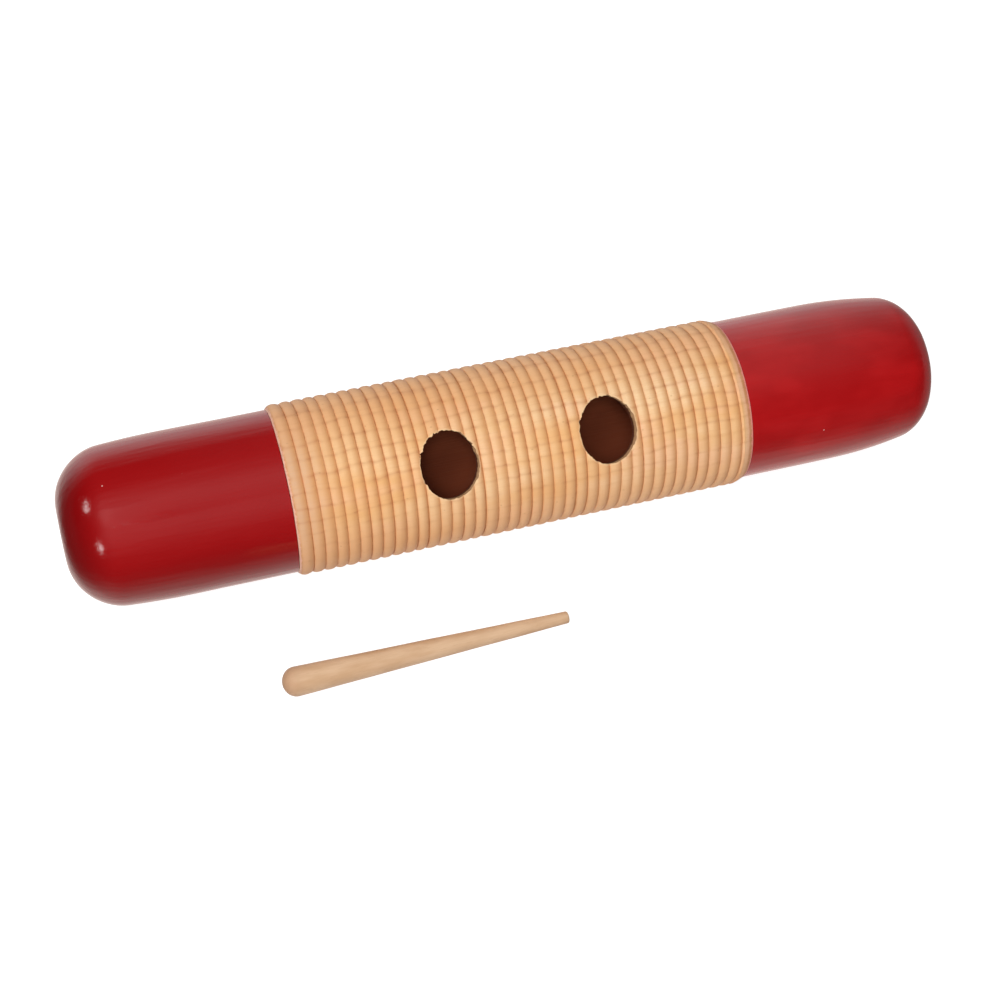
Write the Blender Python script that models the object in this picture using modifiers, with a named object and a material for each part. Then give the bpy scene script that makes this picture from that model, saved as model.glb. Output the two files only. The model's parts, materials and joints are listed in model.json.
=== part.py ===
# Guiro: a bored and ribbed wooden tube, closed by two lacquered end caps, with its scraper beside it.
# Metres, +Z up. +X runs along the guiro's axis and -Y is the side that faces the player.
# The origin is the bottom centre of the whole set, on the surface that it lies on.
from math import atan, cos, pi, radians, sin, sqrt

import bmesh
import bpy
from mathutils import Matrix

# Ribbed tube
TUBE_LENGTH = 0.1564
CREST_RADIUS = 0.0290
TUBE_WALL = 0.0061
TUBE_EDGE = 0.0006
GROOVE_COUNT = 39
GROOVE_DEPTH = 0.0009
GROOVE_WIDTH = 0.0020
LEFT_BAND = 0.0048
RIGHT_BAND = 0.0043

# Finger holes, slightly longer round the tube than along it. Their cutters run on past the crests.
HOLE_SPACING = 0.0540
HOLE_SHIFT = 0.0009
HOLE_WIDTH = 0.0188
HOLE_HEIGHT = 0.0226
HOLE_RISE = radians(41)
HOLE_OVERRUN = 0.0080

# End caps. A cap keeps one radius at first, then narrows gently by a share of it, and its outer end is
# rounded off to a flat face. The left cap is rounded further back than the right one.
LEFT_CAP_LENGTH = 0.0723
LEFT_NARROWING = 0.085
LEFT_ROUNDING = 0.0168
LEFT_FACE_RADIUS = 0.0091
RIGHT_CAP_LENGTH = 0.0713
RIGHT_NARROWING = 0.166
RIGHT_ROUNDING = 0.0110
RIGHT_FACE_RADIUS = 0.0129
CAP_STEP = 0.0014
CAP_STRAIGHT = 0.0330
CAP_END_WALL = 0.0080
HOLLOW_CORNER = 0.0060
SPIGOT_LENGTH = 0.0120
SPIGOT_WALL = 0.0048

# Scraper stick. The gap is from the tube to its thick end, and its tip points slightly towards the guiro.
STICK_LENGTH = 0.0968
BUTT_RADIUS = 0.0049
TIP_RADIUS = 0.0021
BUTT_DOME = 0.0045
STICK_GAP = 0.0275
STICK_INSET = 0.0580
STICK_YAW = radians(2.3)

# Clearance kept between faces that meet
FIT_GAP = 0.0003

# Roundness
GUIRO_SIDES = 36
STICK_SIDES = 24
HOLE_SIDES = 32
NARROWING_STEPS = 4
ROUNDING_STEPS = 7
CORNER_STEPS = 4
DOME_STEPS = 4

# Worked out from the sizes above. Each round piece rests on a flat of its polygon, half a step
# from a corner, so its flats lie this share of the radius from its axis.
GUIRO_FLAT = cos(pi / GUIRO_SIDES)
STICK_FLAT = cos(pi / STICK_SIDES)
BORE_RADIUS = CREST_RADIUS - TUBE_WALL
CAP_RADIUS = CREST_RADIUS - CAP_STEP
SPIGOT_RADIUS = BORE_RADIUS - FIT_GAP
HOLLOW_RADIUS = SPIGOT_RADIUS - SPIGOT_WALL
OVERALL_LENGTH = LEFT_CAP_LENGTH + FIT_GAP + TUBE_LENGTH + FIT_GAP + RIGHT_CAP_LENGTH
TUBE_LEFT = -OVERALL_LENGTH / 2 + LEFT_CAP_LENGTH + FIT_GAP
BUTT_REACH = BUTT_RADIUS * STICK_FLAT * cos(STICK_YAW)
OVERALL_DEPTH = 2 * CREST_RADIUS * GUIRO_FLAT + STICK_GAP + 2 * BUTT_REACH
AXIS_Y = OVERALL_DEPTH / 2 - CREST_RADIUS * GUIRO_FLAT
AXIS_Z = CREST_RADIUS * GUIRO_FLAT
STICK_X = -OVERALL_LENGTH / 2 + STICK_INSET
STICK_Y = -OVERALL_DEPTH / 2 + BUTT_REACH - BUTT_DOME * sin(STICK_YAW)


def clear_scene():
    for item in list(bpy.data.objects):
        bpy.data.objects.remove(item, do_unlink=True)


def new_collection(name):
    group = bpy.data.collections.new(name)
    bpy.context.scene.collection.children.link(group)
    return group


def new_material(name, colour, roughness, coat=0.0):
    material = bpy.data.materials.new(name)
    material.use_nodes = True
    shader = material.node_tree.nodes["Principled BSDF"]
    shader.inputs["Base Color"].default_value = (*colour, 1.0)
    shader.inputs["Roughness"].default_value = roughness
    shader.inputs["Metallic"].default_value = 0.0
    shader.inputs["Coat Weight"].default_value = coat
    return material


def ribbed_wood():
    return new_material("ribbed_wood", (0.62, 0.36, 0.15), 0.5)


def red_lacquer():
    return new_material("red_lacquer", (0.32, 0.01, 0.015), 0.15, coat=1.0)


def scraper_wood():
    return new_material("scraper_wood", (0.66, 0.42, 0.22), 0.45)


def quarter(centre_radius, centre_height, across, along, steps):
    """Points (radius, height) on a quarter ellipse, from its side to its top, or its bottom if along < 0."""
    points = []
    for step in range(steps + 1):
        angle = pi / 2 * step / steps
        points.append((centre_radius + across * cos(angle), centre_height + along * sin(angle)))
    return points


def turned(name, profile, closed, sides, material, group):
    """A piece turned from a profile of (radius, height) points round its local Z axis."""
    half_step = pi / sides
    points = [(radius * cos(half_step), radius * sin(half_step), height) for radius, height in profile]
    edges = [(index, index + 1) for index in range(len(points) - 1)]
    if closed:
        edges.append((len(points) - 1, 0))
    mesh = bpy.data.meshes.new(name)
    mesh.from_pydata(points, edges, [])
    mesh.materials.append(material)
    piece = bpy.data.objects.new(name, mesh)
    group.objects.link(piece)
    screw = piece.modifiers.new("turn", "SCREW")
    screw.axis = "Z"
    screw.angle = 2 * pi
    screw.steps = sides
    screw.render_steps = sides
    screw.use_merge_vertices = True
    screw.merge_threshold = 0.00001
    screw.use_smooth_shade = True
    return piece


def groove_centres():
    """Heights of the grooves along the tube, from its left end."""
    pitch = (TUBE_LENGTH - LEFT_BAND - RIGHT_BAND) / (GROOVE_COUNT - 1)
    return [LEFT_BAND + pitch * index for index in range(GROOVE_COUNT)]


def tube_profile():
    profile = [(CREST_RADIUS - TUBE_EDGE, TUBE_LENGTH), (CREST_RADIUS, TUBE_LENGTH - TUBE_EDGE)]
    for centre in reversed(groove_centres()):
        profile.append((CREST_RADIUS, centre + GROOVE_WIDTH / 2))
        profile.append((CREST_RADIUS - GROOVE_DEPTH, centre))
        profile.append((CREST_RADIUS, centre - GROOVE_WIDTH / 2))
    profile += [(CREST_RADIUS, TUBE_EDGE), (CREST_RADIUS - TUBE_EDGE, 0.0)]
    profile += [(BORE_RADIUS, 0.0), (BORE_RADIUS, TUBE_LENGTH)]
    return profile


def cap_radius(height, length, narrowing, rounding, face_radius):
    """Radius of a cap's outside at this height above the tube's end."""
    tapered = max(0.0, height - CAP_STRAIGHT) / (length - CAP_STRAIGHT)
    rounded = max(0.0, height - (length - rounding)) / rounding
    face_share = face_radius / (CAP_RADIUS * (1 - narrowing))
    taper = 1 - narrowing * tapered**2
    corner = face_share + (1 - face_share) * sqrt(max(0.0, 1 - rounded**2))
    return CAP_RADIUS * taper * corner


def cap_profile(length, narrowing, rounding, face_radius):
    """Height 0 is the face that meets the tube. The spigot reaches below it, into the bore."""
    rounding_start = length - rounding
    turns = [pi / 2 * step / ROUNDING_STEPS for step in range(ROUNDING_STEPS + 1)]
    heights = [rounding_start + rounding * cos(turn) for turn in turns]
    narrowing_step = (rounding_start - CAP_STRAIGHT) / NARROWING_STEPS
    heights += [rounding_start - narrowing_step * (step + 1) for step in range(NARROWING_STEPS)]
    profile = [(0.0, length)]
    profile += [(cap_radius(height, length, narrowing, rounding, face_radius), height) for height in heights]
    profile += [(CAP_RADIUS, 0.0), (SPIGOT_RADIUS, 0.0)]
    profile += [(SPIGOT_RADIUS, -SPIGOT_LENGTH), (HOLLOW_RADIUS, -SPIGOT_LENGTH)]
    hollow_top = length - CAP_END_WALL
    corner_radius = HOLLOW_RADIUS - HOLLOW_CORNER
    profile += quarter(corner_radius, hollow_top - HOLLOW_CORNER, HOLLOW_CORNER, HOLLOW_CORNER, CORNER_STEPS)
    profile.append((0.0, hollow_top))
    return profile


def stick_profile():
    """Height 0 is the end of the domed butt, and the flat tip is at the top."""
    profile = [(0.0, STICK_LENGTH), (TIP_RADIUS, STICK_LENGTH)]
    profile += quarter(0.0, BUTT_DOME, BUTT_RADIUS, -BUTT_DOME, DOME_STEPS)[:-1]
    profile.append((0.0, 0.0))
    return profile


def along_axis(height_from_left):
    """A place on the guiro's axis, at this distance from the tube's left end."""
    return Matrix.Translation((TUBE_LEFT + height_from_left, AXIS_Y, AXIS_Z))


def hole_cutter(name, centre, group):
    """An oval cutter that runs from the axis out through the wall at one finger hole."""
    reach = CREST_RADIUS + HOLE_OVERRUN
    oval = Matrix.Diagonal((HOLE_WIDTH / 2, HOLE_HEIGHT / 2, 1.0, 1.0))
    lift = Matrix.Translation((0.0, 0.0, reach / 2))
    body = bmesh.new()
    bmesh.ops.create_cone(
        body,
        cap_ends=True,
        segments=HOLE_SIDES,
        radius1=1.0,
        radius2=1.0,
        depth=reach,
        matrix=lift @ oval,
    )
    mesh = bpy.data.meshes.new(name)
    body.to_mesh(mesh)
    body.free()
    cutter = bpy.data.objects.new(name, mesh)
    cutter.matrix_world = along_axis(centre) @ Matrix.Rotation(pi / 2 - HOLE_RISE, 4, "X")
    cutter.hide_render = True
    cutter.display_type = "WIRE"
    group.objects.link(cutter)
    return cutter


def make_tube(parts, cutters):
    tube = turned("ribbed_tube", tube_profile(), True, GUIRO_SIDES, ribbed_wood(), parts)
    tube.matrix_world = along_axis(0.0) @ Matrix.Rotation(pi / 2, 4, "Y")
    middle = TUBE_LENGTH / 2 + HOLE_SHIFT
    for name, centre in (("left", middle - HOLE_SPACING / 2), ("right", middle + HOLE_SPACING / 2)):
        cut = tube.modifiers.new(f"{name}_hole", "BOOLEAN")
        cut.operation = "DIFFERENCE"
        cut.object = hole_cutter(f"{name}_hole_cutter", centre, cutters)


def make_caps(parts):
    lacquer = red_lacquer()
    left_profile = cap_profile(LEFT_CAP_LENGTH, LEFT_NARROWING, LEFT_ROUNDING, LEFT_FACE_RADIUS)
    left = turned("left_end_cap", left_profile, False, GUIRO_SIDES, lacquer, parts)
    left.matrix_world = along_axis(-FIT_GAP) @ Matrix.Rotation(-pi / 2, 4, "Y")
    right_profile = cap_profile(RIGHT_CAP_LENGTH, RIGHT_NARROWING, RIGHT_ROUNDING, RIGHT_FACE_RADIUS)
    right = turned("right_end_cap", right_profile, False, GUIRO_SIDES, lacquer, parts)
    right.matrix_world = along_axis(TUBE_LENGTH + FIT_GAP) @ Matrix.Rotation(pi / 2, 4, "Y")


def make_stick(parts):
    """The stick lies along one side of its taper, so its axis dips towards the tip."""
    stick = turned("scraper_stick", stick_profile(), False, STICK_SIDES, scraper_wood(), parts)
    dip = atan((BUTT_RADIUS - TIP_RADIUS) * STICK_FLAT / (STICK_LENGTH - BUTT_DOME))
    height = BUTT_RADIUS * STICK_FLAT * cos(dip) + BUTT_DOME * sin(dip)
    turn = Matrix.Rotation(STICK_YAW, 4, "Z") @ Matrix.Rotation(pi / 2 + dip, 4, "Y")
    stick.matrix_world = Matrix.Translation((STICK_X, STICK_Y, height)) @ turn


def main():
    clear_scene()
    parts = new_collection("guiro")
    cutters = new_collection("cutters")
    make_tube(parts, cutters)
    make_caps(parts)
    make_stick(parts)


main()
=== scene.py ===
import json
from math import atan, cos, pi, radians, sin, sqrt
from random import Random

import bpy
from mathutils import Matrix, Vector


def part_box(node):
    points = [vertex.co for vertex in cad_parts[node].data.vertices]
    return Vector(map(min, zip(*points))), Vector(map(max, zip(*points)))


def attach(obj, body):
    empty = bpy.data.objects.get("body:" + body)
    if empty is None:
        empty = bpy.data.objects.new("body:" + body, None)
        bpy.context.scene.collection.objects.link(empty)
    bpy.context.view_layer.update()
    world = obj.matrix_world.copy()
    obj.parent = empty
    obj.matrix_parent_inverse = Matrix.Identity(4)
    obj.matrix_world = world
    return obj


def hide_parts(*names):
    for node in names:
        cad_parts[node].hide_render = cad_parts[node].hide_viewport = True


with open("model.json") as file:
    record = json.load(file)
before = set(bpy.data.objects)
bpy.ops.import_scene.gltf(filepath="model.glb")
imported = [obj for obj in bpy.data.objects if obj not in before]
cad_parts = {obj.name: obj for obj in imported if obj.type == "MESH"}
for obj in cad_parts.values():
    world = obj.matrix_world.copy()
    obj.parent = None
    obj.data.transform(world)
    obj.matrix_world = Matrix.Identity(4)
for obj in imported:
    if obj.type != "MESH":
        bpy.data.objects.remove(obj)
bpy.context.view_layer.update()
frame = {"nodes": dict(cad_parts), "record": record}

scene = bpy.context.scene
scene.view_settings.view_transform = "Standard"
scene.view_settings.look = "None"
print("frame loaded:", ", ".join(sorted(frame["nodes"])))

# places that every piece is built from
endFaces = {mount["name"]: Vector(mount["pos_m"]) for mount in frame["record"]["mounts"]}
leftFace, rightFace = endFaces["left_end_face"], endFaces["right_end_face"]
axisY, axisZ = leftFace.y, leftFace.z
tubeLow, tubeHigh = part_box("ribbed_tube")
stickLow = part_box("scraper_stick")[0]
crestRadius = tubeHigh.z - axisZ
axisPoint = Vector((0.0, axisY, axisZ))  # the middle of the guiro, on its axis
axisDirection = Vector((1.0, 0.0, 0.0))
hair = 0.0001  # allowance when faces are told apart by their place
mergeDistance = 0.000002


# tools for the bench

def deselectAll():
    if bpy.context.mode != "OBJECT":
        bpy.ops.object.mode_set(mode="OBJECT")
    bpy.ops.object.select_all(action="DESELECT")


def pickOnly(piece):
    deselectAll()
    piece.select_set(True)
    bpy.context.view_layer.objects.active = piece


def drawOutline(name, points, closed):
    deselectAll()
    bpy.ops.mesh.primitive_plane_add(size=0.001, location=(0, 0, 0))
    piece = bpy.context.active_object
    piece.name = piece.data.name = name
    bpy.ops.object.mode_set(mode="EDIT")
    bpy.ops.mesh.merge(type="CENTER")  # one vertex is left to extrude from
    bpy.ops.transform.translate(value=points[0])
    track = points + [points[0]] if closed else points
    for here, there in zip(track, track[1:]):
        bpy.ops.mesh.extrude_vertices_move(TRANSFORM_OT_translate={"value": there - here})
    return piece


def spinOutline(steps, centre, direction):
    bpy.ops.mesh.select_all(action="SELECT")
    bpy.ops.mesh.remove_doubles(threshold=mergeDistance)
    bpy.ops.mesh.select_all(action="SELECT")
    bpy.ops.mesh.spin(steps=steps, angle=2 * pi, center=centre, axis=direction)
    bpy.ops.mesh.select_all(action="SELECT")
    bpy.ops.mesh.remove_doubles(threshold=mergeDistance)
    bpy.ops.mesh.select_all(action="SELECT")
    bpy.ops.mesh.normals_make_consistent(inside=False)
    bpy.ops.object.mode_set(mode="OBJECT")


def wearSurface(piece, name, depth, size):
    # the texture only takes away, so nothing grows past the turned size
    pickOnly(piece)
    waves = bpy.data.textures.new(name, "CLOUDS")
    waves.noise_scale = size
    waves.noise_depth = 2
    dent = piece.modifiers.new(name, "DISPLACE")
    dent.texture = waves
    dent.texture_coords = "LOCAL"
    dent.mid_level = 1.0
    dent.strength = depth
    bpy.ops.object.modifier_apply(modifier=dent.name)


def smoothByAngle(piece, angle):
    pickOnly(piece)
    bpy.ops.object.shade_smooth_by_angle(angle=radians(angle))


def cutAway(piece, cutter):
    pickOnly(piece)
    cut = piece.modifiers.new("cut", "BOOLEAN")
    cut.operation = "DIFFERENCE"
    cut.solver = "MANIFOLD"
    cut.object = cutter
    bpy.ops.object.modifier_apply(modifier=cut.name)
    piece.data.materials.clear()
    bpy.data.objects.remove(cutter, do_unlink=True)


def radiusFromAxis(point):
    return sqrt((point.y - axisY) ** 2 + (point.z - axisZ) ** 2)


def giveFaces(piece, material, belongs):
    # the faces that belong get one more material of their own
    piece.data.materials.append(material)
    pickOnly(piece)
    piece.active_material_index = len(piece.data.materials) - 1
    bpy.ops.object.mode_set(mode="EDIT")
    bpy.ops.mesh.select_all(action="DESELECT")
    bpy.ops.object.mode_set(mode="OBJECT")
    for face in piece.data.polygons:
        face.select = belongs(face)
    bpy.ops.object.mode_set(mode="EDIT")
    bpy.ops.object.material_slot_assign()
    bpy.ops.object.mode_set(mode="OBJECT")


# tools for materials

def newMaterial(name):
    material = bpy.data.materials.new(name)
    material.use_nodes = True
    tree = material.node_tree
    return material, tree, tree.nodes["Principled BSDF"]


def addNode(tree, kind, sockets=None, **settings):
    node = tree.nodes.new("ShaderNode" + kind)
    for setting, value in settings.items():
        setattr(node, setting, value)
    for socket, value in (sockets or {}).items():
        if isinstance(value, bpy.types.NodeSocket):
            tree.links.new(value, node.inputs[socket])
        else:
            node.inputs[socket].default_value = value
    return node


def grainSpace(tree, place, centre=(0, 0, 0), turn=(0, 0, 0), size=(1, 1, 1)):
    # one unit of the result is size metres, measured from centre
    node = addNode(tree, "Mapping", vector_type="TEXTURE")
    tree.links.new(place, node.inputs["Vector"])
    node.inputs["Location"].default_value = centre
    node.inputs["Rotation"].default_value = turn
    node.inputs["Scale"].default_value = size
    return node.outputs["Vector"]


def noise(tree, vector, detail=2.0, roughness=0.5):
    sockets = {"Vector": vector, "Scale": 1.0, "Detail": detail, "Roughness": roughness}
    return addNode(tree, "TexNoise", sockets).outputs["Fac"]


def acrossDistance(tree, vector, keep=(0.0, 1.0, 1.0)):
    # how far a point lies from the line that keep leaves out
    flat = addNode(tree, "VectorMath", {0: vector, 1: keep}, operation="MULTIPLY").outputs["Vector"]
    return addNode(tree, "VectorMath", {0: flat}, operation="LENGTH").outputs["Value"]


def upRound(tree, centred):
    # how far up round the guiro a point lies from the direction that the holes face
    around = holeDirections(ribbedTube["holeRises"][1])[1]
    return addNode(tree, "VectorMath", {0: centred, 1: around}, operation="DOT_PRODUCT").outputs["Value"]


def remap(tree, value, fromLow, fromHigh, toLow=0.0, toHigh=1.0, soft=True):
    sockets = {"Value": value, "From Min": fromLow, "From Max": fromHigh, "To Min": toLow, "To Max": toHigh}
    node = addNode(tree, "MapRange", sockets, interpolation_type="SMOOTHSTEP" if soft else "LINEAR")
    return node.outputs["Result"]


def calc(tree, operation, first, second=0.5):
    node = addNode(tree, "Math", operation=operation)
    for socket, value in zip(node.inputs, (first, second)):
        if isinstance(value, bpy.types.NodeSocket):
            tree.links.new(value, socket)
        else:
            socket.default_value = value
    return node.outputs["Value"]


def blendColours(tree, share, under, over, blend="MIX"):
    node = addNode(tree, "Mix", data_type="RGBA", blend_type=blend, clamp_factor=True)
    for index, value in ((0, share), (6, under), (7, over)):
        if isinstance(value, bpy.types.NodeSocket):
            tree.links.new(value, node.inputs[index])
        else:
            node.inputs[index].default_value = (*value, 1.0) if index else value
    return node.outputs[2]


def ramp(tree, value, stops):
    node = addNode(tree, "ValToRGB")
    tree.links.new(value, node.inputs["Fac"])
    elements = node.color_ramp.elements
    while len(elements) < len(stops):
        elements.new(0.5)
    for element, (place, shade) in zip(elements, stops):
        element.position = place
        element.color = (shade, shade, shade, 1.0)
    return node.outputs["Color"]


def addBump(tree, shader, layers):
    normal = None
    for height, distance, strength in layers:
        sockets = {"Height": height, "Distance": distance, "Strength": strength}
        if normal is not None:
            sockets["Normal"] = normal
        normal = addNode(tree, "Bump", sockets).outputs["Normal"]
    tree.links.new(normal, shader.inputs["Normal"])
    return normal


# the ribbed tube

ribbedTube = {
    "grooves": 39,
    "leftBand": 0.0048,  # from each end of the tube to its first groove
    "rightBand": 0.0043,
    "wall": 0.0061,
    "ribShares": (-1.0, -0.9, -0.72, -0.42, 0.0, 0.42, 0.72, 0.9, 1.0),
    "ribDrop": 0.00056,  # how far a rib falls from its crest to the groove's lip
    "ribRoundness": 2.3,
    "cutHalfWidth": 0.00013,
    "cutDepth": 0.00020,
    "wander": 0.055,  # share of the pitch that a groove strays by
    "depthWander": 0.16,
    # each shoulder as (distance in from the tube's end, drop below the crests)
    "leftShoulder": ((0.0, 0.00136), (0.0005, 0.00078), (0.0011, 0.00032), (0.0018, 0.00007), (0.0026, 0.0)),
    "rightShoulder": (
        (0.0, 0.00130), (0.0010, 0.00084), (0.0020, 0.00046), (0.0028, 0.00020), (0.0035, 0.00005),
    ),
    "steps": 160,
    "chatterDepth": 0.00012,
    "chatterSize": 0.006,
    "holeShift": 0.0012,
    "holeSpacing": 0.0540,
    "holeWidth": 0.0193,
    "holeHeight": 0.0226,
    "holeRises": (radians(39.2), radians(41)),  # the left one was drilled slightly lower
    "holeSides": 108,
    "smoothDepth": 0.0068,  # below the crests, where the smooth part of a hole's wall ends
    "tornSteps": (0.0040, 0.0030, 0.0040),
    "rimTear": 0.00062,
    "rimRoughness": 0.00026,
    "smoothAngle": 38,
    "seed": 11,
}
boreRadius = crestRadius - ribbedTube["wall"]
grooveRun = tubeHigh.x - tubeLow.x - ribbedTube["leftBand"] - ribbedTube["rightBand"]
pitch = grooveRun / (ribbedTube["grooves"] - 1)


def tubeOutline(make):
    dice = Random(make["seed"])
    left, right = tubeLow.x, tubeHigh.x
    centres = [left + make["leftBand"] + pitch * number for number in range(make["grooves"])]
    centres = [centre + pitch * dice.uniform(-make["wander"], make["wander"]) for centre in centres]
    half = make["cutHalfWidth"]
    points = [(left, boreRadius)]
    points += [(left + inward, crestRadius - down) for inward, down in make["leftShoulder"]]
    starts = [left] + [centre + half for centre in centres]
    ends = [centre - half for centre in centres] + [right]
    for number, (start, end) in enumerate(zip(starts, ends)):
        middle, reach = (start + end) / 2, (end - start) / 2
        drop = make["ribDrop"] * dice.uniform(1 - make["depthWander"], 1 + make["depthWander"])
        shares = make["ribShares"]
        if number == 0:  # the shoulders take the place of the rest of the two end bands
            shares = [share for share in shares if share > 0.1]
        elif number == len(centres):
            shares = [share for share in shares if share < -0.6]
        for share in shares:
            fall = drop * abs(share) ** make["ribRoundness"]
            points.append((middle + reach * share, crestRadius - fall))
        if number < len(centres):
            points.append((centres[number], crestRadius - drop - make["cutDepth"]))
    points += [(right - inward, crestRadius - down) for inward, down in reversed(make["rightShoulder"])]
    points.append((right, boreRadius))
    return [Vector((x, axisY, axisZ + radius)) for x, radius in points]


holeMiddle = (tubeLow.x + tubeHigh.x) / 2 + ribbedTube["holeShift"]
fingerHoles = [
    (holeMiddle + side * ribbedTube["holeSpacing"] / 2, rise)
    for side, rise in zip((-1, 1), ribbedTube["holeRises"])
]


def holeDirections(rise):
    # the way out of a hole, and the way up round the tube from it
    return Vector((0.0, -cos(rise), sin(rise))), Vector((0.0, sin(rise), cos(rise)))


def holeCutter(make, name, centreX, rise, seed):
    # an oval plug: smooth through the wall, torn where it breaks out between the ribs
    outward, around = holeDirections(rise)
    centre = Vector((centreX, axisY, axisZ))
    smoothTo = crestRadius - make["smoothDepth"]
    deselectAll()
    bpy.ops.mesh.primitive_cylinder_add(
        vertices=make["holeSides"],
        radius=1.0,
        depth=smoothTo,
        end_fill_type="NGON",
        location=centre + outward * smoothTo / 2,
        rotation=(pi / 2 - rise, 0.0, 0.0),
        scale=(make["holeWidth"] / 2, make["holeHeight"] / 2, 1.0),
    )
    cutter = bpy.context.active_object
    cutter.name = name
    bpy.ops.object.transform_apply(location=True, rotation=True, scale=True)

    def pickOutside(test):
        bpy.ops.object.mode_set(mode="OBJECT")
        for vertex in cutter.data.vertices:
            vertex.select = test(vertex.co - centre)
        bpy.ops.object.mode_set(mode="EDIT")

    bpy.ops.object.mode_set(mode="EDIT")
    bpy.ops.mesh.select_mode(type="VERT")
    bpy.ops.mesh.select_all(action="DESELECT")
    pickOutside(lambda offset: offset.dot(outward) > smoothTo - hair)
    first, second, last = make["tornSteps"]
    for number, step in enumerate((first, second)):
        bpy.ops.mesh.extrude_region_move(TRANSFORM_OT_translate={"value": outward * step})
        bpy.ops.transform.vertex_random(offset=make["rimRoughness"], seed=seed + number)
    bpy.ops.mesh.extrude_region_move(TRANSFORM_OT_translate={"value": outward * last})

    def onUpperRim(offset):
        return offset.dot(outward) > smoothTo + first / 2 and offset.dot(around) > make["holeHeight"] * 0.10

    pickOutside(onUpperRim)
    bpy.ops.transform.vertex_random(offset=make["rimTear"], seed=seed + 2)
    bpy.ops.object.mode_set(mode="OBJECT")
    return cutter


def onHoleWall(face):
    # the cut faces through the wall, which look across the way out of a hole
    offset = face.center - axisPoint
    if radiusFromAxis(face.center) < boreRadius + hair:
        return False
    for centreX, rise in fingerHoles:
        outward, around = holeDirections(rise)
        wide = (offset.x - centreX) / (ribbedTube["holeWidth"] / 2)
        tall = offset.dot(around) / (ribbedTube["holeHeight"] / 2)
        inOval = wide**2 + tall**2 < 1.09 and offset.dot(outward) > 0
        if inOval and abs(face.normal.dot(outward)) < 0.5:
            return True
    return False


def buildTube(make):
    piece = drawOutline("ribbedTube", tubeOutline(make), closed=True)
    spinOutline(make["steps"], axisPoint, axisDirection)
    wearSurface(piece, "latheChatter", make["chatterDepth"], make["chatterSize"])
    for number, (centreX, rise) in enumerate(fingerHoles):
        cutAway(piece, holeCutter(make, "holePlug", centreX, rise, make["seed"] + 10 * number))
    smoothByAngle(piece, make["smoothAngle"])
    return piece


# the two end caps

endCap = {
    "straight": 0.0330,
    "endWall": 0.0080,
    "hollowCorner": 0.0060,
    "cornerSteps": 8,
    "spigotLength": 0.0120,
    "spigotGap": 0.00025,
    "spigotWall": 0.0048,
    "faceGap": 0.00002,
    "narrowingSteps": 18,
    "roundingSteps": 30,
    "steps": 144,
    "waveDepth": 0.00022,
    "waveSize": 0.022,
    "smoothAngle": 35,
}
leftCap = {"narrowing": 0.085, "rounding": 0.0168, "faceRadius": 0.0091}
rightCap = {"narrowing": 0.166, "rounding": 0.0110, "faceRadius": 0.0129}


def capRadius(height, length, radius, shape):
    tapered = max(0.0, height - endCap["straight"]) / (length - endCap["straight"])
    rounded = max(0.0, height - (length - shape["rounding"])) / shape["rounding"]
    faceShare = shape["faceRadius"] / (radius * (1 - shape["narrowing"]))
    taper = 1 - shape["narrowing"] * tapered**2
    return radius * taper * (faceShare + (1 - faceShare) * sqrt(max(0.0, 1 - rounded**2)))


def buildCap(name, node, shape, face, tubeEnd):
    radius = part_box(node)[1].z - axisZ
    side = -1 if face.x < tubeEnd else 1
    length = abs(face.x - tubeEnd) - endCap["faceGap"]
    roundStart = length - shape["rounding"]
    points = [(length, 0.0), (length, shape["faceRadius"] * 0.5)]
    for step in range(endCap["roundingSteps"] + 1):
        height = roundStart + shape["rounding"] * cos(pi / 2 * step / endCap["roundingSteps"])
        points.append((height, capRadius(height, length, radius, shape)))
    for step in range(1, endCap["narrowingSteps"]):
        height = roundStart * (1 - step / endCap["narrowingSteps"])
        points.append((height, capRadius(height, length, radius, shape)))
    points.append((0.0, radius))
    spigot = boreRadius - endCap["spigotGap"]
    hollow = spigot - endCap["spigotWall"]
    points += [(0.0, spigot), (-endCap["spigotLength"], spigot), (-endCap["spigotLength"], hollow)]
    top, corner = length - endCap["endWall"], endCap["hollowCorner"]
    for step in range(endCap["cornerSteps"] + 1):
        angle = pi / 2 * step / endCap["cornerSteps"]
        points.append((top - corner + corner * sin(angle), hollow - corner + corner * cos(angle)))
    points.append((top, 0.0))
    start = Vector((tubeEnd + side * endCap["faceGap"], axisY, axisZ))
    outline = [start + Vector((side * height, 0.0, outward)) for height, outward in points]
    piece = drawOutline(name, outline, closed=False)
    spinOutline(endCap["steps"], axisPoint, axisDirection)
    wearSurface(piece, name + "Waves", endCap["waveDepth"], endCap["waveSize"])
    smoothByAngle(piece, endCap["smoothAngle"])
    return piece


# the scraper

scraperStick = {
    "length": 0.0968,
    "buttRadius": 0.0049,
    "tipRadius": 0.0021,
    "buttDome": 0.0045,
    "tipEdge": 0.00060,
    "yaw": radians(2.3),
    "rings": 34,
    "domeSteps": 12,
    "steps": 72,
    "settle": 0.00004,  # it lies this much lower, because the sanding thins its underside
    "smoothAngle": 50,
    "handDepth": 0.00016,
    "handSize": 0.018,
}


def stickLine(make):
    dip = atan((make["buttRadius"] - make["tipRadius"]) / (make["length"] - make["buttDome"]))
    along = Vector((cos(make["yaw"]) * cos(dip), sin(make["yaw"]) * cos(dip), -sin(dip)))
    across = Vector((cos(make["yaw"]) * sin(dip), sin(make["yaw"]) * sin(dip), cos(dip)))
    side = make["buttRadius"] * cos(make["yaw"]) - make["buttDome"] * sin(make["yaw"])
    height = make["buttRadius"] + make["buttDome"] * sin(dip)
    start = Vector((stickLow.x, stickLow.y + side - make["settle"], height - make["settle"]))
    return start, along, across


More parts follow.
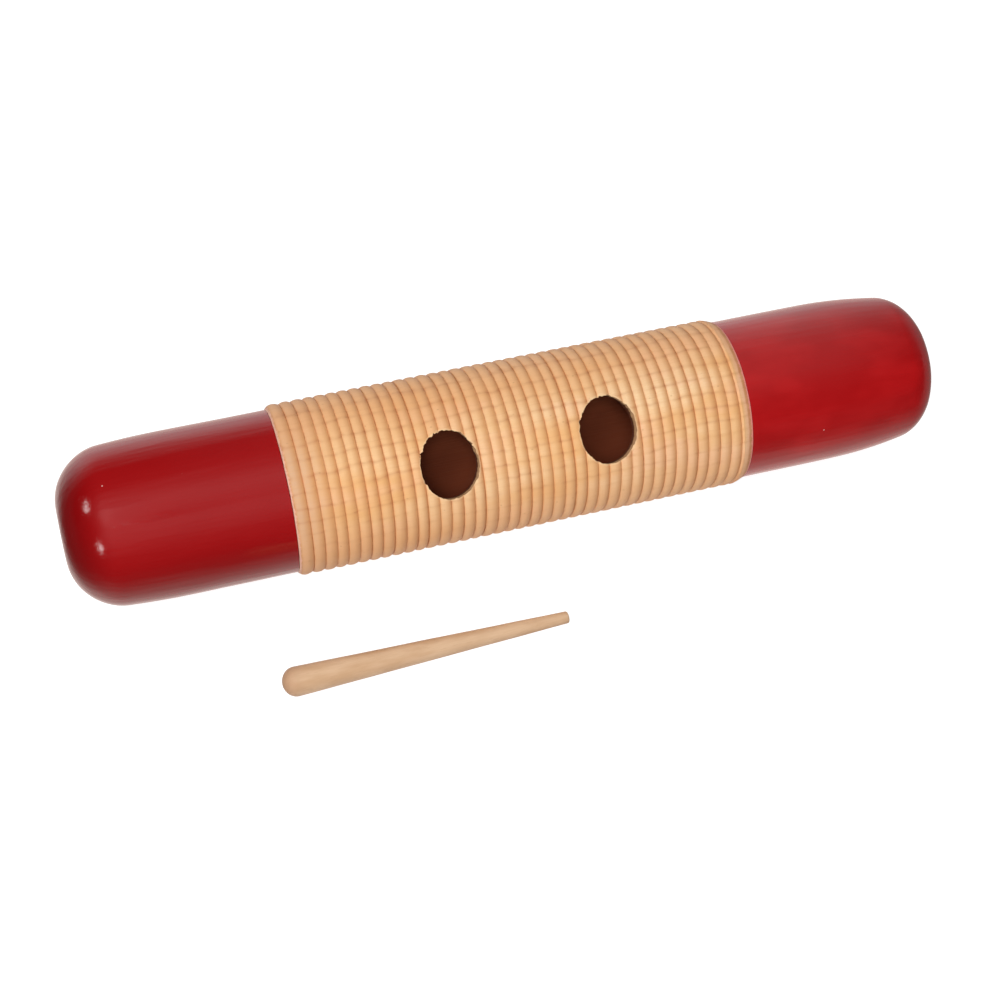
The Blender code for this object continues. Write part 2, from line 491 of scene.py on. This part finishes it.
def buildStick(make):
    start, along, across = stickLine(make)
    butt, tip, dome, edge = make["buttRadius"], make["tipRadius"], make["buttDome"], make["tipEdge"]
    points = [(0.0, 0.0)]
    for step in range(1, make["domeSteps"] + 1):
        angle = pi / 2 * step / make["domeSteps"]
        points.append((dome * (1 - cos(angle)), butt * sin(angle)))
    run = make["length"] - dome - edge
    for ring in range(1, make["rings"] + 1):
        share = ring / make["rings"]
        points.append((dome + run * share, butt + (tip - butt) * share))
    end = make["length"]
    points += [(end - edge * 0.3, tip - edge * 0.3), (end, tip - edge), (end, 0.0)]
    outline = [start + along * height + across * radius for height, radius in points]
    piece = drawOutline("scraperStick", outline, closed=False)
    spinOutline(make["steps"], start, along)
    wearSurface(piece, "handSanding", make["handDepth"], make["handSize"])
    smoothByAngle(piece, make["smoothAngle"])
    return piece


# the finishes

honeyWood = {
    "light": (0.865, 0.603, 0.352),
    "deep": (0.77, 0.420, 0.175),
    "pink": (0.86, 0.520, 0.330),
    # painted shade for the sides turned away from the holes
    "paintedSideShade": (0.83, 0.420, 0.190),
    "firstBands": (0.63, 0.375, 0.235),
    # paler pink, partly painted light
    "peachLift": (1.00, 0.640, 0.500),
    "ringLine": (0.50, 0.165, 0.060),
    "ringSpacing": 0.0048,
    "ringLean": radians(50),
    "pithDistance": 0.120,
    # painted shade on the side of each rib turned from the light
    "paintedRibShade": (0.68, 0.310, 0.115),
    # painted shade at the bottoms of the grooves
    "grooveShade": (0.52, 0.200, 0.075),
    "fleck": (0.45, 0.190, 0.070),
    "paleEdge": (0.92, 0.560, 0.440),
    "bleed": (0.86, 0.310, 0.260),
    "rim": (0.86, 0.600, 0.340),
}


def paintRibbedWood(make):
    material, tree, shader = newMaterial("ribbedHoneyWood")
    place = addNode(tree, "TexCoord").outputs["Object"]
    centred = grainSpace(tree, place, axisPoint)
    parts = addNode(tree, "SeparateXYZ", {"Vector": centred})
    along, height = parts.outputs["X"], parts.outputs["Z"]
    radius = acrossDistance(tree, centred)

    # colour drifts from honey to a pinker tan in patches along the blank
    patches = noise(tree, grainSpace(tree, place, axisPoint, size=(0.045, 0.016, 0.016)), detail=3)
    drift = noise(tree, grainSpace(tree, place, (0.03, axisY, axisZ), size=(0.030, 0.011, 0.011)))
    wood = blendColours(tree, remap(tree, patches, 0.35, 0.68), make["light"], make["deep"])
    wood = blendColours(tree, remap(tree, drift, 0.48, 0.70, 0.0, 0.6), wood, make["pink"])
    # darker towards the left end of the tube: painted shade
    wood = blendColours(tree, remap(tree, along, -0.060, 0.050, 0.40, 0.0), wood, make["deep"])
    wood = blendColours(tree, remap(tree, along, -0.078, -0.058, 0.85, 0.0), wood, make["firstBands"])
    # the last band is paler and pinker: a pink tint, and painted light that lifts the shade on its sloping
    # shoulder
    lastBandLift = remap(tree, along, tubeHigh.x - 0.0034, tubeHigh.x - 0.0010, 0.0, 0.8)
    wood = blendColours(tree, lastBandLift, wood, make["peachLift"])

    # palest along the side that the holes face, ruddier and darker round from it: painted shade towards the
    # top and the underside
    aside = calc(tree, "ABSOLUTE", upRound(tree, centred))
    wood = blendColours(tree, remap(tree, aside, 0.008, 0.025, 0.0, 0.68), wood, make["paintedSideShade"])

    # long fibres
    fibreSpace = grainSpace(tree, place, axisPoint, size=(0.012, 0.00045, 0.00045))
    fibres = noise(tree, fibreSpace, detail=4, roughness=0.6)
    wood = blendColours(tree, remap(tree, fibres, 0.3, 0.75, 0.0, 0.26), wood, make["deep"])

    # each rib is told from the next, and goes from 0 at one groove to 1 at the next
    fromFirst = calc(tree, "SUBTRACT", along, tubeLow.x + ribbedTube["leftBand"])
    ribPlace = calc(tree, "DIVIDE", fromFirst, pitch)
    ribShare = calc(tree, "FRACT", ribPlace)
    ribNumber = calc(tree, "FLOOR", ribPlace)
    jitter = addNode(tree, "TexWhiteNoise", {"W": ribNumber}, noise_dimensions="1D").outputs["Value"]
    # each rib is darker orange-brown towards its right side: painted shade, as if lit from the left
    shadedSideStops = ((0.0, 0.25), (0.12, 0.0), (0.38, 0.0), (0.86, 0.72), (1.0, 0.65))
    shadedRibSide = ramp(tree, ribShare, shadedSideStops)
    wood = blendColours(tree, shadedRibSide, wood, make["paintedRibShade"])

    # growth rings from a pith far off to one side, cut into short dashes by the ribs
    lean = make["ringLean"]
    pith = (0.0, axisY - make["pithDistance"] * sin(lean), axisZ - make["pithDistance"] * cos(lean))
    fromPith = acrossDistance(tree, grainSpace(tree, place, pith))
    wander = noise(tree, grainSpace(tree, place, axisPoint, size=(0.045, 0.014, 0.014)))
    curve = noise(tree, grainSpace(tree, place, axisPoint, size=(0.0040, 0.0070, 0.0070)), detail=1)
    for stray, amount in ((wander, 0.0050), (curve, 0.0009), (jitter, 0.0005)):
        fromPith = calc(tree, "ADD", fromPith, calc(tree, "MULTIPLY", stray, amount))
    ringShare = calc(tree, "FRACT", calc(tree, "DIVIDE", fromPith, make["ringSpacing"]))
    ringStops = (
        (0.30, 0.0), (0.44, 0.55), (0.50, 1.0), (0.56, 0.5), (0.68, 0.0),
        (0.84, 0.0), (0.90, 0.30), (0.96, 0.0),
    )
    dashes = ramp(tree, ringShare, ringStops)
    onRib = ramp(tree, ribShare, ((0.0, 1.0), (0.20, 0.55), (0.60, 0.45), (0.82, 0.80), (1.0, 1.0)))
    breaks = noise(tree, grainSpace(tree, place, axisPoint, size=(0.0050, 0.0030, 0.0030)))
    dashShare = calc(tree, "MULTIPLY", dashes, onRib)
    dashShare = calc(tree, "MULTIPLY", dashShare, remap(tree, breaks, 0.36, 0.62, 0.15, 0.62))
    dashShare = calc(tree, "MULTIPLY", dashShare, remap(tree, height, -0.010, 0.020, 0.20, 1.0))
    wood = blendColours(tree, dashShare, wood, make["ringLine"])

    # flecks
    fleckSpace = grainSpace(tree, place, axisPoint, size=(0.0060, 0.0036, 0.0036))
    cells = addNode(tree, "TexVoronoi", {"Vector": fleckSpace, "Scale": 1.0})
    fleckShare = remap(tree, cells.outputs["Distance"], 0.02, 0.10, 0.40, 0.0)
    wood = blendColours(tree, fleckShare, wood, make["fleck"])

    # soft brown lines along the bottoms of the grooves: painted shade in the creases
    uneven = noise(tree, grainSpace(tree, place, axisPoint, size=(0.004, 0.003, 0.003)), detail=3)
    depth = calc(tree, "SUBTRACT", radius, calc(tree, "MULTIPLY", uneven, 0.0003))
    grooveShadeShare = remap(tree, depth, crestRadius - 0.00098, crestRadius - 0.00070, 0.80, 0.0)
    grooveShadeShare = calc(tree, "MULTIPLY", grooveShadeShare, remap(tree, breaks, 0.30, 0.65, 0.55, 1.0))
    wood = blendColours(tree, grooveShadeShare, wood, make["grooveShade"])

    # bare wood scraped pale beside the left paint, and a ragged red fringe beside the right
    raggedSpace = grainSpace(tree, place, axisPoint, size=(0.0020, 0.0008, 0.0008))
    ragged = noise(tree, raggedSpace, detail=3, roughness=0.7)
    frayed = calc(tree, "MULTIPLY", ragged, 0.0016)
    leftEdge = calc(tree, "SUBTRACT", along, frayed)
    paleShare = remap(tree, leftEdge, tubeLow.x - 0.0006, tubeLow.x + 0.0001, 0.7, 0.0)
    wood = blendColours(tree, paleShare, wood, make["paleEdge"])
    rightEdge = calc(tree, "ADD", along, frayed)
    bleedShare = remap(tree, rightEdge, tubeHigh.x - 0.00005, tubeHigh.x + 0.00045, 0.0, 0.85)
    wood = blendColours(tree, bleedShare, wood, make["bleed"])

    # the torn rims of the two holes are paler
    rimSize = (ribbedTube["holeWidth"] / 2, ribbedTube["holeHeight"] / 2, 1.0)
    for centreX, rise in fingerHoles:
        rimSpace = grainSpace(tree, place, (centreX, axisY, axisZ), (pi / 2 - rise, 0.0, 0.0), rimSize)
        outside = addNode(tree, "SeparateXYZ", {"Vector": rimSpace}).outputs["Z"]
        oval = acrossDistance(tree, rimSpace, keep=(1.0, 1.0, 0.0))
        chipped = calc(tree, "SUBTRACT", oval, calc(tree, "MULTIPLY", ragged, 0.11))
        chipped = remap(tree, chipped, 0.97, 1.01, 0.45, 0.0)
        rimShare = calc(tree, "MULTIPLY", chipped, remap(tree, outside, 0.0, 0.01))
        wood = blendColours(tree, rimShare, wood, make["rim"])

    tree.links.new(wood, shader.inputs["Base Color"])
    tree.links.new(remap(tree, fibres, 0.2, 0.8, 0.42, 0.60, soft=False), shader.inputs["Roughness"])
    shader.inputs["Specular IOR Level"].default_value = 0.35
    addBump(tree, shader, ((fibres, 0.00006, 0.5), (uneven, 0.0002, 0.25)))
    return material


# dark and light are painted shade and painted light, laid by height inside the tube
boreWood = {"dark": (0.228, 0.054, 0.0235), "light": (0.54, 0.160, 0.070)}
cutWood = {
    "pale": (0.70, 0.400, 0.205),
    "dull": (0.60, 0.335, 0.165),
    # painted shade deep inside the holes
    "deepShade": (0.13, 0.034, 0.015),
    "shadedFrom": 0.0034,  # below the crests
    "shadedTo": 0.0022,
}


def paintInsideWood(name, first, second, grain, deepShade=None):
    material, tree, shader = newMaterial(name)
    place = addNode(tree, "TexCoord").outputs["Object"]
    stains = noise(tree, grainSpace(tree, place, size=(0.030, 0.010, 0.010)), detail=4, roughness=0.6)
    fibres = noise(tree, grainSpace(tree, place, size=grain), detail=3)
    height = addNode(tree, "SeparateXYZ", {"Vector": place}).outputs["Z"]
    height = calc(tree, "ADD", height, calc(tree, "MULTIPLY", stains, 0.008))
    # paler towards the top and darker towards the bottom: painted light and painted shade that even out how
    # the light falls inside the tube
    wood = blendColours(tree, remap(tree, height, axisZ - 0.014, axisZ + 0.014), first, second)
    wood = blendColours(tree, remap(tree, fibres, 0.4, 0.8, 0.0, 0.35), wood, first)
    if deepShade:
        # the cut is clean near the outside and darker further in: painted shade deep in the hole
        radius = acrossDistance(tree, grainSpace(tree, place, axisPoint))
        uneven = calc(tree, "ADD", radius, calc(tree, "MULTIPLY", stains, 0.0010))
        inner, outer = crestRadius - cutWood["shadedFrom"], crestRadius - cutWood["shadedTo"]
        wood = blendColours(tree, remap(tree, uneven, inner, outer, 1.0, 0.0), wood, deepShade)
    tree.links.new(wood, shader.inputs["Base Color"])
    tree.links.new(remap(tree, fibres, 0.2, 0.8, 0.65, 0.85, soft=False), shader.inputs["Roughness"])
    addBump(tree, shader, ((fibres, 0.0002, 0.6),))
    return material


redLacquer = {
    "full": (0.365, 0.0036, 0.0048),
    "thin": (0.440, 0.0070, 0.0084),
    # painted shade for the left cap
    "leftPaintedShade": (0.300, 0.0032, 0.0042),
    # painted shade at the left tip and underneath
    "thick": (0.140, 0.0022, 0.0028),
    "coatRoughness": 0.15,
    "dust": (0.75, 0.42, 0.38),
}


def paintRedLacquer(make):
    material, tree, shader = newMaterial("redLacquer")
    place = addNode(tree, "TexCoord").outputs["Object"]
    brushed = noise(tree, grainSpace(tree, place, axisPoint, size=(0.030, 0.0028, 0.0028)), detail=3)
    pooled = noise(tree, grainSpace(tree, place, axisPoint, size=(0.020, 0.012, 0.012)))
    red = blendColours(tree, remap(tree, pooled, 0.35, 0.7), make["full"], make["thin"])
    red = blendColours(tree, remap(tree, brushed, 0.45, 0.8, 0.0, 0.35), red, make["full"])
    centred = grainSpace(tree, place, axisPoint)
    along = addNode(tree, "SeparateXYZ", {"Vector": centred}).outputs["X"]
    # the left cap is darker red than the right: painted shade
    red = blendColours(tree, remap(tree, along, -0.05, 0.08, 0.9, 0.0), red, make["leftPaintedShade"])

    # darker at the left tip and on the underside: painted shade
    red = blendColours(tree, remap(tree, along, -0.150, -0.133, 0.9, 0.0), red, make["thick"])
    underside = remap(tree, upRound(tree, centred), -0.026, -0.010, 1.0, 0.0)
    underside = calc(tree, "MULTIPLY", underside, remap(tree, along, -0.05, 0.08, 0.50, 0.15))
    red = blendColours(tree, underside, red, make["thick"])

    # a few specks of dust caught in the coat
    speckSpace = grainSpace(tree, place, axisPoint, size=(0.011, 0.011, 0.011))
    cells = addNode(tree, "TexVoronoi", {"Vector": speckSpace, "Scale": 1.0})
    dust = remap(tree, cells.outputs["Distance"], 0.016, 0.028, 0.8, 0.0)
    red = blendColours(tree, dust, red, make["dust"])
    tree.links.new(red, shader.inputs["Base Color"])
    tree.links.new(remap(tree, brushed, 0.25, 0.8, 0.22, 0.36, soft=False), shader.inputs["Roughness"])
    shader.inputs["Coat Weight"].default_value = 1.0
    shader.inputs["Coat Roughness"].default_value = make["coatRoughness"]
    shader.inputs["Coat IOR"].default_value = 1.5
    shader.inputs["Specular IOR Level"].default_value = 0.0
    peel = noise(tree, grainSpace(tree, place, axisPoint, size=(0.0016, 0.0009, 0.0009)))
    fine = noise(tree, grainSpace(tree, place, axisPoint, size=(0.00035, 0.00035, 0.00035)), detail=1)
    layers = ((brushed, 0.00022, 0.6), (peel, 0.00003, 0.6), (fine, 0.00002, 0.6), (dust, 0.00005, 0.5))
    normal = addBump(tree, shader, layers)
    tree.links.new(normal, shader.inputs["Coat Normal"])
    return material


tanWood = {
    "light": (0.70, 0.465, 0.290),
    "deep": (0.59, 0.360, 0.205),
    "vein": (0.45, 0.240, 0.130),
    "endGrain": (0.50, 0.285, 0.165),
}


def paintStickWood(make):
    material, tree, shader = newMaterial("scraperTanWood")
    place = addNode(tree, "TexCoord").outputs["Object"]
    start, along, _ = stickLine(scraperStick)
    turn = (0.0, -atan(along.z / along.x), scraperStick["yaw"])
    fibreSpace = grainSpace(tree, place, start, turn, (0.010, 0.00042, 0.00042))
    fibres = noise(tree, fibreSpace, detail=4, roughness=0.6)
    mottled = noise(tree, grainSpace(tree, place, start, turn, (0.014, 0.0035, 0.0035)), detail=3)
    veins = noise(tree, grainSpace(tree, place, start, turn, (0.0045, 0.00028, 0.00028)))
    wood = blendColours(tree, remap(tree, mottled, 0.35, 0.7), make["light"], make["deep"])
    wood = blendColours(tree, remap(tree, fibres, 0.35, 0.8, 0.0, 0.40), wood, make["deep"])
    wood = blendColours(tree, remap(tree, veins, 0.62, 0.74, 0.0, 0.35), wood, make["vein"])
    lengthwise = addNode(tree, "SeparateXYZ", {"Vector": grainSpace(tree, place, start, turn)}).outputs["X"]
    wood = blendColours(tree, remap(tree, lengthwise, 0.0, 0.0075, 0.85, 0.0), wood, make["endGrain"])
    tree.links.new(wood, shader.inputs["Base Color"])
    tree.links.new(remap(tree, fibres, 0.2, 0.8, 0.38, 0.55, soft=False), shader.inputs["Roughness"])
    addBump(tree, shader, ((fibres, 0.00004, 0.5), (mottled, 0.0001, 0.3)))
    return material


# the studio

studio = {
    "leftJoint": 0.0723,  # from the left end of the guiro
    "cameraOffset": Vector((-0.0601, -0.4594, 0.4574)),  # from the left joint on the guiro's axis
    "cameraTurn": (radians(44.75), 0.0, radians(-16.50)),
    "lens": 70.31,
    "floorGlow": 0.40,
    "floorShown": 0.92,
    "floorTone": 0.35,
    "keyPower": 10.0,
    "keyPlace": Vector((-0.55, -0.575, 0.996)),  # from the middle of the guiro
    "keySize": 0.6,
    "frontPower": 4.2,
    "frontPlace": Vector((-0.264, -0.880, 0.876)),  # from the middle of the guiro
    "frontSize": 0.20,
    "lampPower": 1.2,
    "lampSize": 0.20,
    "lampDistance": 1.2,
    "lampTarget": Vector((-0.140, -0.0156, 0.0171)),  # on the left cap's shoulder
    "upperLamp": Vector((-0.794, 0.03, 0.608)),  # the way to each lamp from there
    "lowerLamp": Vector((-0.683, -0.72, 0.123)),
    "standToward": (-0.037, -0.708, 0.705),
    # how light the room is at each angle, on the left and on the right
    "roomLeft": (
        (-180, 1.0), (-93, 1.0), (-61, 0.50), (-45, 0.12), (-29, 0.02), (-13, 0.03), (3, 0.15), (19, 0.40),
        (35, 0.58), (51, 0.50), (67, 0.64), (83, 0.36), (99, 0.12), (115, 0.06), (131, 0.05), (147, 0.40),
        (163, 1.0), (180, 1.0),
    ),
    "roomRight": (
        (-180, 1.0), (-93, 1.0), (-61, 0.74), (-45, 0.25), (-29, 0.10), (2, 0.05), (34, 0.11), (66, 0.34),
        (98, 0.48), (130, 0.8), (146, 1.0), (162, 1.0), (180, 1.0),
    ),
}


def buildFloor(make):
    deselectAll()
    bpy.ops.mesh.primitive_plane_add(size=8.0, location=(0.0, 0.0, 0.0))
    floor = bpy.context.active_object
    floor.name = "floor"
    material, tree, shader = newMaterial("palePaper")
    place = addNode(tree, "TexCoord").outputs["Object"]
    tooth = noise(tree, grainSpace(tree, place, size=(0.02, 0.02, 0.02)))
    tone = make["floorTone"]
    paper = blendColours(tree, tooth, (tone, tone, tone), (tone * 1.04, tone * 1.04, tone * 1.04))
    tree.links.new(paper, shader.inputs["Base Color"])
    shader.inputs["Roughness"].default_value = 0.9
    shader.inputs["Specular IOR Level"].default_value = 0.0
    shader.inputs["Emission Color"].default_value = (1.0, 1.0, 1.0, 1.0)
    seen = addNode(tree, "LightPath").outputs["Is Camera Ray"]
    glow = remap(tree, seen, 0.0, 1.0, make["floorGlow"], make["floorShown"], soft=False)
    tree.links.new(glow, shader.inputs["Emission Strength"])
    floor.data.materials.append(material)
    floor.visible_glossy = False  # what the lacquer mirrors is set in the room light below


def lightRoom(make):
    # light and dark parts of the room by their angle: 0 in front, 90 overhead, 180 behind, -90 below
    world = bpy.data.worlds.new("studioRoom")
    scene.world = world
    world.use_nodes = True
    tree = world.node_tree
    background = tree.nodes["Background"]
    toward = addNode(tree, "TexCoord").outputs["Generated"]
    parts = addNode(tree, "SeparateXYZ", {"Vector": toward})
    frontness = calc(tree, "MULTIPLY", parts.outputs["Y"], -1.0)
    angle = calc(tree, "ARCTAN2", parts.outputs["Z"], frontness)
    share = remap(tree, angle, -pi, pi, soft=False)
    sides = []
    for side in ("roomLeft", "roomRight"):
        sides.append(ramp(tree, share, [((degree + 180) / 360, shade) for degree, shade in make[side]]))
    rightness = remap(tree, parts.outputs["X"], 0.02, 0.38)
    room = blendColours(tree, rightness, sides[0], sides[1])
    leftFade = remap(tree, parts.outputs["X"], -0.88, -0.30, 0.05, 1.0)
    room = blendColours(tree, 1.0, room, leftFade, blend="MULTIPLY")
    rightFade = remap(tree, parts.outputs["X"], 0.30, 0.75, 1.0, 0.30)
    room = blendColours(tree, 1.0, room, rightFade, blend="MULTIPLY")
    # a stand in front of the light panel, and a paper floor that is a little warm
    stand = addNode(tree, "VectorMath", {0: toward, 1: make["standToward"]}, operation="DOT_PRODUCT")
    standShare = remap(tree, stand.outputs["Value"], 0.9930, 0.9985, 0.0, 0.6)
    room = blendColours(tree, standShare, room, (0.0, 0.0, 0.0))
    warmth = remap(tree, parts.outputs["Z"], -0.35, 0.0, 1.0, 0.0)
    room = blendColours(tree, warmth, room, (1.0, 0.84, 0.78), blend="MULTIPLY")
    seen = addNode(tree, "LightPath").outputs["Is Camera Ray"]
    shown = blendColours(tree, seen, room, (1.0, 1.0, 1.0))
    tree.links.new(shown, background.inputs["Color"])


def addLamp(name, place, target, size, power, seenInGloss):
    # a lamp either lights the wood and paint or only shines in the gloss
    deselectAll()
    bpy.ops.object.light_add(type="AREA", location=place)
    lamp = bpy.context.active_object
    lamp.name = name
    lamp.data.shape = "DISK"
    lamp.data.size = size
    lamp.data.energy = power
    lamp.rotation_euler = (target - place).to_track_quat("-Z", "Y").to_euler()
    lamp.visible_glossy = seenInGloss
    lamp.visible_diffuse = not seenInGloss


def placeCamera(make):
    deselectAll()
    joint = Vector((leftFace.x + make["leftJoint"], axisY, axisZ))
    bpy.ops.object.camera_add(location=joint + make["cameraOffset"], rotation=make["cameraTurn"])
    camera = bpy.context.active_object
    camera.name = "studioCamera"
    camera.data.lens = make["lens"]
    camera.data.sensor_width = 36.0
    camera.data.clip_start = 0.01
    scene.camera = camera


# everything is put together

placeCamera(studio)
tubePiece = buildTube(ribbedTube)
print("ribbed tube turned:", len(tubePiece.data.polygons), "faces")
leftPiece = buildCap("leftEndCap", "left_end_cap", leftCap, leftFace, tubeLow.x)
rightPiece = buildCap("rightEndCap", "right_end_cap", rightCap, rightFace, tubeHigh.x)
print("end caps turned:", len(leftPiece.data.polygons) + len(rightPiece.data.polygons), "faces")
stickPiece = buildStick(scraperStick)
print("scraper turned:", len(stickPiece.data.polygons), "faces")

bore = paintInsideWood("darkBore", boreWood["dark"], boreWood["light"], (0.014, 0.0006, 0.0006))
cutGrain = (0.003, 0.0004, 0.0004)
holeWall = paintInsideWood("paleCutWood", cutWood["dull"], cutWood["pale"], cutGrain, deepShade=cutWood["deepShade"])
lacquer = paintRedLacquer(redLacquer)
tubePiece.data.materials.append(paintRibbedWood(honeyWood))
giveFaces(tubePiece, bore, lambda face: radiusFromAxis(face.center) < boreRadius + hair)
giveFaces(tubePiece, holeWall, onHoleWall)
for piece in (leftPiece, rightPiece):
    piece.data.materials.append(lacquer)
for piece, tubeEnd, side in ((leftPiece, tubeLow.x, -1), (rightPiece, tubeHigh.x, 1)):

    def unpainted(face):
        # the spigot and the hollow behind it are bare wood
        outward = Vector((0.0, face.center.y - axisY, face.center.z - axisZ))
        if outward.length > boreRadius or side * face.normal.x > 0.5:
            return False
        onSpigot = side * (face.center.x - tubeEnd) < hair
        return onSpigot or face.normal.dot(outward) < 0 or side * face.normal.x < -0.5

    giveFaces(piece, bore, unpainted)
stickPiece.data.materials.append(paintStickWood(tanWood))
print("finishes on")

for piece, node, body, slot in (
    (tubePiece, "ribbed_tube", "guiro_body", "ribbed_wood"),
    (leftPiece, "left_end_cap", "guiro_body", "red_lacquer"),
    (rightPiece, "right_end_cap", "guiro_body", "red_lacquer"),
    (stickPiece, "scraper_stick", "scraper", "scraper_wood"),
):
    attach(piece, body)
    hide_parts(node)

buildFloor(studio)
lightRoom(studio)
for name, part in (("keyPanel", "key"), ("frontPanel", "front")):
    place, size, power = studio[part + "Place"], studio[part + "Size"], studio[part + "Power"]
    addLamp(name, axisPoint + place, axisPoint, size, power, seenInGloss=False)
capEnd = axisPoint + studio["lampTarget"]
for name, part in (("upperLeftLamp", "upperLamp"), ("lowerLeftLamp", "lowerLamp")):
    place = capEnd + studio[part] * studio["lampDistance"]
    addLamp(name, place, capEnd, studio["lampSize"], studio["lampPower"], seenInGloss=True)
print("studio lit")
